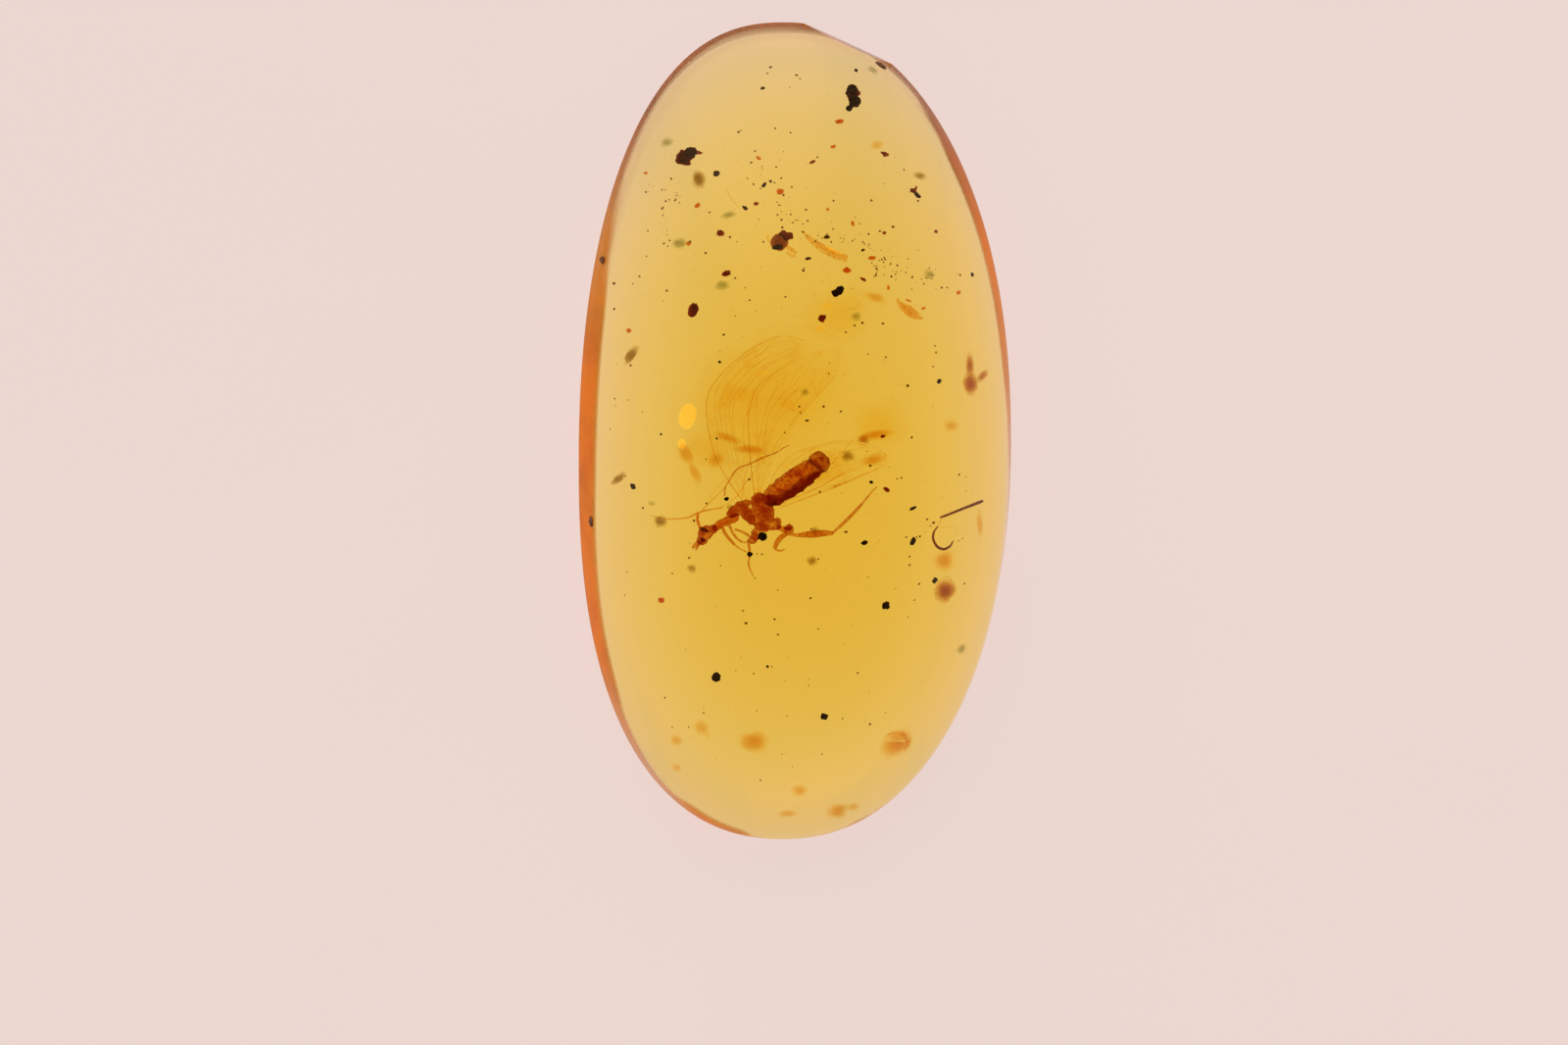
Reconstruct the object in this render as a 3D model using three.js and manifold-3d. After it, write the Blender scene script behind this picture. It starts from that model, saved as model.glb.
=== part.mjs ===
// A polished oval of amber with an insect sealed in it, lying on its flat back.
// Millimetres, +Z up. The length runs along Y, with the narrower end towards +Y, and the width along X.
// The stone is one solid. What is sealed in it has no part in how it rests or is held.
import * as THREE from "three";
import { mergeVertices } from "three/addons/utils/BufferGeometryUtils.js";
import Module from "manifold-3d";

// Driving dimensions.
const LENGTH = 26;
const WIDTH = 13.86;
const DOME_HEIGHT = 5; // over the middle of the back
const WALL_HEIGHT = 1.3; // from the back to the dome's foot, at the middle of the length
const BACK_BEVEL = 0.3; // the rounded edge between the back and the wall

// Shape of the oval, from above.
const HEAD_SQUARENESS = 2.28; // superellipse exponents: 2 is an ellipse
const FOOT_SQUARENESS = 2.16;
const BOW = 0.43; // how far both ends bend towards -X
const WAIST_DROP = 0.82; // how far the widest line lies below the middle
const WAIST_LEAN = 0.4; // how much higher that line is at +X, and lower at -X

// Shape of the dome and the wall, from the side.
const DOME_FULLNESS = 2.6; // exponent of the fall from the crown to the wall
const HEAD_THINNING = 0.2; // share of the height lost at the head and gained at the foot
const END_THINNING = 0.15; // share of the height lost at both ends
const LEAST_WALL_LEAN = 0.12; // how far the dome's foot lies inside the outline
const MOST_WALL_LEAN = 0.54;
const MOST_LEAN_ANGLE = (100 / 180) * Math.PI; // where the wall leans most, from +X

// Flats ground on the head: a point on each, and the way that it faces.
const FLATS = [
  { point: [1.6, 12.28, 0.6], facing: [0.42, 0.91, 0.15] },
  { point: [-0.6, 12.68, 0.8], facing: [-0.12, 0.8, 0.58] },
  { point: [-2.2, 12.32, 0.8], facing: [-0.34, 0.74, 0.58] },
];

// Fineness of the mesh.
const SECTORS = 96;
const BEVEL_STEPS = 4;
const DOME_STEPS = 18;

const AMBER = { color: 0xe6b33c, roughness: 0.05, metalness: 0 };

const halfLength = LENGTH / 2;
const halfWidth = WIDTH / 2;

const wasm = await Module();
wasm.setup();

// A point of the oval's edge, at an angle from +X.
function edgePoint(angle) {
  const cos = Math.cos(angle);
  const sin = Math.sin(angle);
  const power = 2 / (sin > 0 ? HEAD_SQUARENESS : FOOT_SQUARENESS);
  const x = halfWidth * Math.sign(cos) * Math.abs(cos) ** power;
  const y = halfLength * Math.sign(sin) * Math.abs(sin) ** power;
  const towardsEnd = (y / halfLength) ** 2;
  const lift = (WAIST_LEAN * x) / halfWidth - WAIST_DROP;
  return new THREE.Vector2(x - BOW * towardsEnd, y + lift * (1 - towardsEnd));
}

// The stone's section, from the middle of the back to the crown. At first the wall stands upright.
function section() {
  const points = [new THREE.Vector2(0, 0)];
  for (let step = 0; step <= BEVEL_STEPS; step += 1) {
    const turn = ((step / BEVEL_STEPS) * Math.PI) / 2;
    const radius = halfWidth - BACK_BEVEL * (1 - Math.sin(turn));
    points.push(new THREE.Vector2(radius, BACK_BEVEL * (1 - Math.cos(turn))));
  }
  for (let step = 0; step < DOME_STEPS; step += 1) {
    const share = Math.cos(((step / DOME_STEPS) * Math.PI) / 2);
    const rise = 1 - share ** DOME_FULLNESS;
    const height = WALL_HEIGHT + (DOME_HEIGHT - WALL_HEIGHT) * rise;
    points.push(new THREE.Vector2(halfWidth * share, height));
  }
  points.push(new THREE.Vector2(0, DOME_HEIGHT));
  return points;
}

// Where a point of the round section goes on the oval, with the wall leaning in and the ends thinner.
function ovalPoint(round) {
  const share = Math.hypot(round.x, round.z) / halfWidth;
  const angle = Math.atan2(-round.z, round.x);
  const edge = edgePoint(angle);
  const towardsMost = (1 + Math.cos(angle - MOST_LEAN_ANGLE)) / 2;
  const lean = THREE.MathUtils.lerp(LEAST_WALL_LEAN, MOST_WALL_LEAN, towardsMost);
  const upWall = THREE.MathUtils.clamp((round.y - BACK_BEVEL) / (WALL_HEIGHT - BACK_BEVEL), 0, 1);
  const inward = 1 - (lean * upWall) / edge.length();
  const x = edge.x * share * inward;
  const y = edge.y * share * inward;
  const along = y / halfLength;
  const thickness = 1 - HEAD_THINNING * along - END_THINNING * along ** 2;
  return new THREE.Vector3(x, y, round.y * thickness);
}

function blankGeometry() {
  const blank = new THREE.LatheGeometry(section(), SECTORS);
  const positions = blank.getAttribute("position");
  const round = new THREE.Vector3();
  for (let index = 0; index < positions.count; index += 1) {
    round.fromBufferAttribute(positions, index);
    const point = ovalPoint(round);
    positions.setXYZ(index, point.x, point.y, point.z);
  }
  return blank;
}

// A block whose underside lies on a flat and which covers everything beyond it.
function grindingBlock({ point, facing }) {
  const outward = new THREE.Vector3(...facing).normalize();
  const block = new THREE.BoxGeometry(LENGTH, LENGTH, LENGTH).translate(0, 0, halfLength);
  const turn = new THREE.Quaternion().setFromUnitVectors(new THREE.Vector3(0, 0, 1), outward);
  return block.applyQuaternion(turn).translate(...point);
}

function solidOf(geometry) {
  geometry.deleteAttribute("normal");
  geometry.deleteAttribute("uv");
  const merged = mergeVertices(geometry);
  return new wasm.Manifold(
    new wasm.Mesh({
      numProp: 3,
      vertProperties: merged.getAttribute("position").array,
      triVerts: new Uint32Array(merged.index.array),
    }),
  );
}

function stoneGeometry() {
  let solid = solidOf(blankGeometry());
  for (const flat of FLATS) {
    solid = solid.subtract(solidOf(grindingBlock(flat)));
  }
  const { vertProperties, triVerts } = solid.getMesh();
  const stone = new THREE.BufferGeometry();
  stone.setAttribute("position", new THREE.BufferAttribute(vertProperties, 3));
  stone.setIndex(new THREE.BufferAttribute(triVerts, 1));
  // The origin is on the back, under the middle of the stone.
  stone.computeBoundingBox();
  const { min, max } = stone.boundingBox;
  stone.translate(-(min.x + max.x) / 2, -(min.y + max.y) / 2, -min.z);
  stone.computeVertexNormals();
  return stone;
}

const amberStone = new THREE.Mesh(stoneGeometry(), new THREE.MeshStandardMaterial(AMBER));
amberStone.name = "amber_stone";

const part = new THREE.Group();
part.add(amberStone);

export default part;
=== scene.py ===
"""An insect in amber: a polished golden oval on its flat back, with what the resin caught sealed in it."""
import math
import random

import bmesh
import bpy
from mathutils import Matrix, Vector, noise
from mathutils.bvhtree import BVHTree
from mathutils.interpolate import poly_3d_calc


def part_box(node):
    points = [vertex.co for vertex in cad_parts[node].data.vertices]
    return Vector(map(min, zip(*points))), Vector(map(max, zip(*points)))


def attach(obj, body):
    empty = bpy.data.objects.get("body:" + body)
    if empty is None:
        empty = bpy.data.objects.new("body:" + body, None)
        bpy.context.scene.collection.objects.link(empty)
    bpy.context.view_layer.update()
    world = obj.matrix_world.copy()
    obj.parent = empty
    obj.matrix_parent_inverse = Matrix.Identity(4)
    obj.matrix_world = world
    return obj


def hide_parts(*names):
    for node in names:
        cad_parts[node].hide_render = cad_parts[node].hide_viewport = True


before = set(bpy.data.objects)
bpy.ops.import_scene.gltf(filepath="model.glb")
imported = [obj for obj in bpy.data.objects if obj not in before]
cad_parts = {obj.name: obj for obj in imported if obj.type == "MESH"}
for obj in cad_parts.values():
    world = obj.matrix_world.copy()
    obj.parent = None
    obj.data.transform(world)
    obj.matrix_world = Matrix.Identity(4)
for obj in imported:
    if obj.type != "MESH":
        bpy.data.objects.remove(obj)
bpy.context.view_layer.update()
stone_low, stone_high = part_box("amber_stone")

# Shapes are worked out in millimetres and made metres at the end.
MM = 0.001
TINY = 1e-4
ORIGIN = (0, 0, 0)
UPRIGHT = (0, 0, 1)

# The stone: the same driving dimensions as its solid.
HALF_LENGTH = (stone_high.y - stone_low.y) / MM / 2
HALF_WIDTH = (stone_high.x - stone_low.x) / MM / 2
DOME_HEIGHT = 5
WALL_HEIGHT = 1.3
BACK_BEVEL = 0.3
SHOULDER = 0.16
HEAD_SQUARENESS = 2.28
FOOT_SQUARENESS = 2.16
BOW = 0.43
WAIST_DROP = 0.82
WAIST_LEAN = 0.4
DOME_FULLNESS = 2.6
HEAD_THINNING = 0.2
END_THINNING = 0.15
LEAST_WALL_LEAN = 0.12
MOST_WALL_LEAN = 0.54
MOST_LEAN_ANGLE = math.radians(100)
# How much painted copper shade the wall has, in place of the darker band that refraction gives the rim, by
# the angle from +X in degrees.
RIM_SHADE = [(-68, 0), (-60, 0.3), (-25, 0.3), (0, 0.5), (20, 0.8), (45, 1), (60, 0.8), (72, 0.3),
        (100, 0.2), (112, 0.25), (130, 0.45), (150, 0.85), (165, 1), (228, 1), (238, 0.6), (246, 0.45),
        (251, 0.6), (256, 1), (261, 0.9), (267, 0.1), (271, 0.1), (278, 0.7), (283, 0.6), (291, 0),
        (292, 0)]
RIM_SHADE_DEPTH = 0.04
RIM_SHADE_THICKNESS = 0.03
RIM_SHADE_REACH = 1.5
RIM_SHADE_FADE = 0.3
RIM_SHADE_STEPS = 200
STONE_STEPS = 256
LEAST_RIM_SHADE = 0.15
# The flats ground at the head: a point of each and the way it faces.
FLATS = [
    ((1.6, 12.28, 0.6), (0.42, 0.91, 0.15)),
    ((-0.6, 12.68, 0.8), (-0.12, 0.8, 0.58)),
    ((-2.2, 12.32, 0.8), (-0.34, 0.74, 0.58)),
]
AMBER_IOR = 1.54

# The camera looks down on the stone from a hand's length, a little from the head and from -X.
CAMERA_DISTANCE = 0.28
VIEW_WIDTH = 0.0498
VIEW_CENTRE = Vector((-0.37, -2.87, 0.3)) * MM
TILT_TO_LEFT = math.radians(8)
TILT_TO_HEAD = math.radians(6)


# ---- camera

def place_camera():
    data = bpy.data.cameras.new("camera")
    data.lens = data.sensor_width * CAMERA_DISTANCE / VIEW_WIDTH
    camera = bpy.data.objects.new("camera", data)
    bpy.context.collection.objects.link(camera)
    away = Vector((-math.sin(TILT_TO_LEFT), math.sin(TILT_TO_HEAD), 1))
    away.z = math.sqrt(1 - away.x ** 2 - away.y ** 2)
    right = Vector((0, 1, 0)).cross(away).normalized()
    up = away.cross(right)
    turn = Matrix((right, up, away)).transposed().to_4x4()
    camera.matrix_world = Matrix.Translation(VIEW_CENTRE + away * CAMERA_DISTANCE) @ turn
    bpy.context.scene.camera = camera
    return camera


camera = place_camera()


# ---- materials

def put(tree, socket, value):
    """Sets a socket, or links it where the value is a pair of a node and its output's name."""
    if isinstance(value, tuple) and isinstance(value[0], bpy.types.Node):
        tree.links.new(value[0].outputs[value[1]], socket)
    elif socket.type == "RGBA":
        socket.default_value = (*value, 1)
    else:
        socket.default_value = value


def node(tree, kind, **values):
    """A new node, with its settings, in small letters, and its inputs put by name."""
    made = tree.nodes.new(kind)
    for name, value in values.items():
        if name.islower():
            setattr(made, name, value)
        else:
            put(tree, made.inputs[name.replace("_", " ")], value)
    return made


def worked_out(tree, operation, first, second):
    made = node(tree, "ShaderNodeMath", operation=operation)
    put(tree, made.inputs[0], first)
    put(tree, made.inputs[1], second)
    return made, "Value"


def leaning(tree, place, way):
    """How far a place lies along a way."""
    made = node(tree, "ShaderNodeVectorMath", operation="DOT_PRODUCT", Vector=place)
    made.inputs[1].default_value = way
    return made, "Value"


def mixed(tree, share, first, second):
    made = node(tree, "ShaderNodeMix", data_type="RGBA", Factor=share, A=first, B=second)
    return made, "Result"


def ramp(tree, value, low, high, start=0.0, end=1.0, kind="SMOOTHSTEP"):
    """Turns values from 'low' to 'high' into values from 'start' to 'end'."""
    made = node(tree, "ShaderNodeMapRange", interpolation_type=kind, Value=value, From_Min=low,
                From_Max=high, To_Min=start, To_Max=end)
    return made, "Result"


FINER = 5
PATCH_EDGE = 0.1


def mottle_group():
    """Two colours broken up by noise, with a mask of the darker one and heights for bump."""
    group = bpy.data.node_groups.new("mottle", "ShaderNodeTree")
    for name, way, kind in (("Light", "INPUT", "Color"), ("Dark", "INPUT", "Color"),
                            ("Scale", "INPUT", "Float"), ("Cover", "INPUT", "Float"),
                            ("Colour", "OUTPUT", "Color"), ("Mask", "OUTPUT", "Float"),
                            ("Height", "OUTPUT", "Float")):
        group.interface.new_socket(name=name, in_out=way, socket_type="NodeSocket" + kind)
    given = group.nodes.new("NodeGroupInput")
    place = (group.nodes.new("ShaderNodeTexCoord"), "Object")
    patches = node(group, "ShaderNodeTexNoise", Vector=place, Scale=(given, "Scale"), Detail=6,
                   Roughness=0.62, Distortion=0.4)
    fine = node(group, "ShaderNodeTexNoise", Vector=place, Detail=3, Roughness=0.7,
                Scale=worked_out(group, "MULTIPLY", (given, "Scale"), FINER))
    reach = worked_out(group, "SUBTRACT", 1, (given, "Cover"))
    low, high = (worked_out(group, "ADD", reach, offset) for offset in (-PATCH_EDGE, PATCH_EDGE))
    mask = ramp(group, (patches, "Fac"), low, high)
    node(group, "NodeGroupOutput", Colour=mixed(group, mask, (given, "Light"), (given, "Dark")),
         Mask=mask, Height=worked_out(group, "ADD", (patches, "Fac"), (fine, "Fac")))
    return group


MOTTLE = mottle_group()


def new_material(name, **inputs):
    material = bpy.data.materials.new(name)
    material.use_nodes = True
    tree = material.node_tree
    shader = tree.nodes["Principled BSDF"]
    for socket, value in inputs.items():
        put(tree, shader.inputs[socket.replace("_", " ")], value)
    return material, tree, shader


def patches_of(tree, light, dark, grain, cover):
    """Patches of two colours, of 'grain' millimetres, the dark ones over a share of 'cover'."""
    return node(tree, "ShaderNodeGroup", node_tree=MOTTLE, Light=light, Dark=dark,
                Scale=1 / (grain * MM), Cover=cover)


def mottled(tree, shader, light, dark, grain, cover=0.5, bump=0.0, rough=(0.5, 0.5)):
    """Colours a shader with patches, and gives them bump and gloss."""
    patches = patches_of(tree, light, dark, grain, cover)
    put(tree, shader.inputs["Base Color"], (patches, "Colour"))
    put(tree, shader.inputs["Roughness"], ramp(tree, (patches, "Mask"), 0, 1, *rough, "LINEAR"))
    if bump:
        relief = node(tree, "ShaderNodeBump", Height=(patches, "Height"), Distance=bump * MM)
        put(tree, shader.inputs["Normal"], (relief, "Normal"))


def absorb(tree, passed, depth):
    """Absorption that lets the shares 'passed' of red, green and blue through 'depth' millimetres."""
    loss = [-math.log(share) / (depth * MM) for share in passed]
    density = max(loss)
    volume = node(tree, "ShaderNodeVolumeAbsorption", Density=density,
                  Color=[1 - part / density for part in loss])
    put(tree, tree.nodes["Material Output"].inputs["Volume"], (volume, "Volume"))


def see_through(name, passed, depth, ior=1.0, light=(1, 1, 1), dark=(1, 1, 1), grain=0.3,
                cover=0.5, rough=(0.0, 0.0), clear=1.0, bump=0.0):
    material, tree, shader = new_material(name, Transmission_Weight=clear, IOR=ior)
    mottled(tree, shader, light, dark, grain, cover, bump, rough)
    absorb(tree, passed, depth)
    return material


def solid(name, light, dark, grain, cover):
    """Dull and opaque."""
    material, tree, shader = new_material(name, Specular_IOR_Level=0.1)
    mottled(tree, shader, light, dark, grain, cover, 0.01, (0.6, 0.8))
    return material


def amber_material():
    """Clear golden resin, deeper low down, with painted copper shade and more roughness along the wall."""
    material, tree, shader = new_material("amber", Transmission_Weight=1, IOR=AMBER_IOR,
                                          Specular_Tint=(1.0, 0.65, 0.3))
    place = (tree.nodes.new("ShaderNodeTexCoord"), "Object")
    low = ramp(tree, leaning(tree, place, (-0.1, 0.02, 1)), 1.2 * MM, 4.6 * MM)
    clear = mixed(tree, low, (0.95, 0.86, 0.64), (1, 1, 1))
    # The copper tint along the wall is painted shade, in place of the darker band that refraction gives
    # the rim.
    rim_shade_tint = patches_of(tree, (0.90, 0.50, 0.20), (0.80, 0.36, 0.12), 2.2, 0.45)
    skin = (node(tree, "ShaderNodeAttribute", attribute_name="wall_rim_shade"), "Fac")
    put(tree, shader.inputs["Base Color"], mixed(tree, skin, clear, (rim_shade_tint, "Colour")))
    put(tree, shader.inputs["Roughness"], ramp(tree, skin, 0, 1, 0.0, 0.6, "LINEAR"))
    absorb(tree, (0.999, 0.748, 0.088), 5)
    return material


def painted_rim_material():
    """A thin shell of painted copper shade with a painted glow, the glow weaker and so the shell browner
    at the head, that fades where its cover attribute says.
    """
    # The shell's emission is a painted glow.
    material, tree, shader = new_material("painted_copper_rim", Specular_IOR_Level=0, Emission_Strength=0.32)
    mottled(tree, shader, (0.95, 0.34, 0.01), (0.78, 0.22, 0.01), 1.6, 0.4, 0.0, (0.6, 0.8))
    place = (tree.nodes.new("ShaderNodeTexCoord"), "Object")
    head = ramp(tree, leaning(tree, place, (0, 1, 0)), 5 * MM, 10 * MM)
    put(tree, shader.inputs["Emission Color"], mixed(tree, head, (0.54, 0.40, 0), (0.0, 0.06, 0)))
    cover = (node(tree, "ShaderNodeAttribute", attribute_name="rim_shade_cover"), "Fac")
    put(tree, shader.inputs["Alpha"], ramp(tree, cover, 0.05, 0.9, kind="LINEAR"))
    return material


AMBER = amber_material()
PAINTED_RIM = painted_rim_material()


def tinted(material, colour, output, kind, **values):
    """Mixes a colour into a material's own, by the output of a node of the given kind."""
    tree = material.node_tree
    base = tree.nodes["Principled BSDF"].inputs["Base Color"]
    own = base.links[0].from_socket
    share = (node(tree, kind, **values), output)
    put(tree, base, mixed(tree, share, (own.node, own.name), colour))
    return material


def darker_at_the_rim(material, rim, spread):
    """Deepens a see-through material's colour where it's seen edge on."""
    return tinted(material, rim, "Facing", "ShaderNodeLayerWeight", Blend=spread)


BODY_CUTICLE = darker_at_the_rim(see_through(
    "body_cuticle", (0.8, 0.34, 0.11), 0.6, 1.02, (1.0, 0.92, 0.66), (0.5, 0.13, 0.045), 0.2, 0.5,
    (0.1, 0.2), 0.97, 0.012), (0.5, 0.12, 0.02), 0.35)
THORAX_CUTICLE = darker_at_the_rim(see_through(
    "thorax_cuticle", (0.66, 0.21, 0.05), 0.6, 1.02, (1.0, 0.88, 0.55), (0.5, 0.14, 0.05), 0.24, 0.55,
    (0.1, 0.2), 0.97, 0.01), (0.55, 0.14, 0.03), 0.3)


def abdomen_material():
    """The body's cuticle, with the dark gut showing through where 'gut_shadow' says."""
    material = BODY_CUTICLE.copy()
    material.name = "abdomen_cuticle"
    return tinted(material, (0.22, 0.022, 0.008), "Fac", "ShaderNodeAttribute",
                  attribute_name="gut_shadow")


ABDOMEN_CUTICLE = abdomen_material()
LIMB_CUTICLE = darker_at_the_rim(see_through(
    "limb_cuticle", (0.84, 0.5, 0.2), 0.16, 1.01, (1.0, 0.86, 0.55), (0.72, 0.36, 0.15), 0.1, 0.5,
    (0.1, 0.2), 0.98, 0.008), (0.6, 0.22, 0.06), 0.35)
PALE_CUTICLE = see_through("pale_cuticle", (0.84, 0.52, 0.25), 0.06, 1.0, (1.0, 0.9, 0.7),
                           (0.9, 0.7, 0.45), 0.1, 0.5)
EYE = see_through("compound_eye", (0.3, 0.08, 0.06), 0.2, 1.05, (0.8, 0.55, 0.5),
                  (0.55, 0.3, 0.25), 0.04, 0.5, (0.15, 0.25), 0.9, 0.004)
WING_MEMBRANE = see_through("wing_membrane", (0.997, 0.985, 0.93), 0.014, 1.04, (1, 1, 0.98),
                            (0.98, 0.86, 0.5), 0.9, 0.42, (0.05, 0.12), 1.0, 0.002)
WING_VEIN = see_through("wing_vein", (0.9, 0.7, 0.38), 0.02, 1.0, (1.0, 0.9, 0.7),
                        (0.9, 0.7, 0.45), 0.3, 0.5)
BLACK_CRUMB = solid("black_crumb", (0.022, 0.01, 0.005), (0.05, 0.02, 0.008), 0.05, 0.4)
RIM_DIRT = solid("rim_dirt", (0.46, 0.22, 0.11), (0.26, 0.14, 0.09), 0.06, 0.5)
RED_CRUMB = see_through("red_crumb", (0.2, 0.02, 0.005), 0.2, 1.06, (0.8, 0.32, 0.12),
                        (0.35, 0.08, 0.03), 0.06, 0.5, (0.3, 0.5), 0.85, 0.01)
ORANGE_FLECK = see_through("orange_fleck", (0.72, 0.22, 0.02), 0.15, 1.04, (1.0, 0.75, 0.4),
                           (0.8, 0.4, 0.15), 0.06, 0.5, (0.1, 0.3))
PLANT_FLAKE = see_through("plant_flake", (0.9, 0.6, 0.26), 0.12, 1.03, (1.0, 0.88, 0.6),
                          (0.85, 0.55, 0.25), 0.12, 0.45, (0.1, 0.25), 1.0, 0.004)
FIBRE = see_through("bark_fibre", (0.22, 0.08, 0.03), 0.1, 1.05, (0.8, 0.5, 0.3),
                    (0.3, 0.15, 0.08), 0.08, 0.5, (0.3, 0.5), 0.9, 0.006)
FLOW_HAZE = see_through("flow_haze", (0.998, 0.94, 0.7), 1.0, 1.0, (1, 1, 1), (1, 0.97, 0.9), 0.8)
SEED = see_through("seed_coat", (0.26, 0.1, 0.03), 0.5, 1.02, (0.8, 0.5, 0.3),
                   (0.45, 0.22, 0.1), 0.15, 0.5, (0.3, 0.5), 0.93, 0.01)


def clot_material(name, passed, depth, dark):
    """Faint stuff that bends no light, so that only its colour shows."""
    return see_through(name, passed, depth, dark=dark, grain=0.1)


GREY_DUST = clot_material("grey_dust", (0.2, 0.12, 0.06), 0.06, (0.8, 0.8, 0.8))
BLURRED_CLOT = clot_material("blurred_clot", (0.5, 0.38, 0.18), 0.3, (0.85, 0.8, 0.7))
ORANGE_CLOT = clot_material("orange_clot", (0.9, 0.64, 0.28), 0.45, (1, 0.95, 0.8))
BROWN_CLOT = clot_material("brown_clot", (0.56, 0.26, 0.09), 0.45, (0.9, 0.8, 0.6))
GREEN_CLOT = clot_material("green_clot", (0.6, 0.62, 0.46), 0.25, (0.85, 0.85, 0.8))


def gleam_material(name, strength):
    """A gas film with a painted golden glow, in place of the light it throws back."""
    material, tree, shader = new_material(name, Transmission_Weight=1, IOR=1.0,
                                          Emission_Color=(1.0, 0.62, 0.06), Emission_Strength=strength)
    mottled(tree, shader, (1, 0.97, 0.8), (1, 0.85, 0.55), 0.2)
    absorb(tree, (0.99, 0.95, 0.75), 0.3)
    return material


GLEAM = gleam_material("golden_gleam", 0.12)
FAINT_GLEAM = gleam_material("faint_gleam", 0.035)


# ---- making pieces


def clamped(value):
    return min(1, max(0, value))


def new_object(name, bm, material):
    """Turns a bmesh in millimetres into an object in metres."""
    bmesh.ops.scale(bm, vec=(MM, MM, MM), verts=bm.verts)
    mesh = bpy.data.meshes.new(name)
    bm.to_mesh(mesh)
    bm.free()
    mesh.materials.append(material)
    thing = bpy.data.objects.new(name, mesh)
    bpy.context.collection.objects.link(thing)
    return thing


def finish(name, bm, material):
    """Makes a smooth piece that rides on the stone."""
    piece = new_object(name, bm, material)
    piece.data.shade_smooth()
    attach(piece, "root")
    return piece


def edge_point(angle):
    """A point of the oval's edge, at an angle from +X."""
    cos, sin = math.cos(angle), math.sin(angle)
    power = 2 / (HEAD_SQUARENESS if sin > 0 else FOOT_SQUARENESS)
    x = HALF_WIDTH * math.copysign(abs(cos) ** power, cos)
    y = HALF_LENGTH * math.copysign(abs(sin) ** power, sin)
    towards_end = (y / HALF_LENGTH) ** 2
    lift = WAIST_LEAN * x / HALF_WIDTH - WAIST_DROP
    return Vector((x - BOW * towards_end, y + lift * (1 - towards_end)))


def stone_section():
    """Radius, height and share of painted rim shade from the middle of the back to the crown."""
    points = [(0, 0, 0), (HALF_WIDTH - 2 * BACK_BEVEL, 0, 0)]
    bevel_steps = 6
    for step in range(bevel_steps + 1):
        turn = step / bevel_steps * math.pi / 2
        points.append((HALF_WIDTH - BACK_BEVEL * (1 - math.sin(turn)),
                       BACK_BEVEL * (1 - math.cos(turn)), step / bevel_steps))
    points.append((HALF_WIDTH, (BACK_BEVEL + WALL_HEIGHT - SHOULDER) / 2, 1))

    def dome(share):
        return WALL_HEIGHT + (DOME_HEIGHT - WALL_HEIGHT) * (1 - share ** DOME_FULLNESS)

    below = Vector((HALF_WIDTH, WALL_HEIGHT - SHOULDER))
    corner = Vector((HALF_WIDTH, WALL_HEIGHT))
    above = Vector((HALF_WIDTH - SHOULDER, dome(1 - SHOULDER / HALF_WIDTH)))
    shoulder_steps = 6
    for step in range(shoulder_steps + 1):
        share = step / shoulder_steps
        point = below.lerp(corner, share).lerp(corner.lerp(above, share), share)
        points.append((point.x, point.y, max(0, 1 - 1.6 * share)))
    start = math.acos(1 - SHOULDER / HALF_WIDTH)
    dome_steps = 44
    for step in range(1, dome_steps):
        share = math.cos(start + (math.pi / 2 - start) * step / dome_steps)
        points.append((HALF_WIDTH * share, dome(share), 0))
    points.append((0, DOME_HEIGHT, 0))
    return points


def oval_point(point):
    """Where a point of the round blank goes on the oval."""
    share = point.xy.length / HALF_WIDTH
    angle = math.atan2(point.y, point.x)
    edge = edge_point(angle)
    towards_most = (1 + math.cos(angle - MOST_LEAN_ANGLE)) / 2
    lean = LEAST_WALL_LEAN + (MOST_WALL_LEAN - LEAST_WALL_LEAN) * towards_most
    up_wall = clamped((point.z - BACK_BEVEL) / (WALL_HEIGHT - BACK_BEVEL))
    inward = 1 - lean * up_wall / edge.length
    x, y = edge * share * inward
    along = y / HALF_LENGTH
    return Vector((x, y, point.z * (1 - HEAD_THINNING * along - END_THINNING * along ** 2)))


def rim_shade_at(place):
    """How much painted rim shade the wall has at a place, by the angle it lies at."""
    first = RIM_SHADE[0][0]
    angle = (math.degrees(math.atan2(place.y, place.x)) - first) % 360 + first
    for (before, less), (after, more) in zip(RIM_SHADE, RIM_SHADE[1:]):
        if angle <= after:
            return less + (more - less) * (angle - before) / (after - before)
    return 0


def ground(bm, point, facing):
    """Cuts off what lies beyond a plane, and gives the edges of the cut."""
    made = bmesh.ops.bisect_plane(bm, geom=bm.verts[:] + bm.edges[:] + bm.faces[:], dist=TINY,
                                  plane_co=point, plane_no=facing, clear_outer=True)
    return [part for part in made["geom_cut"] if isinstance(part, bmesh.types.BMEdge)]


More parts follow.
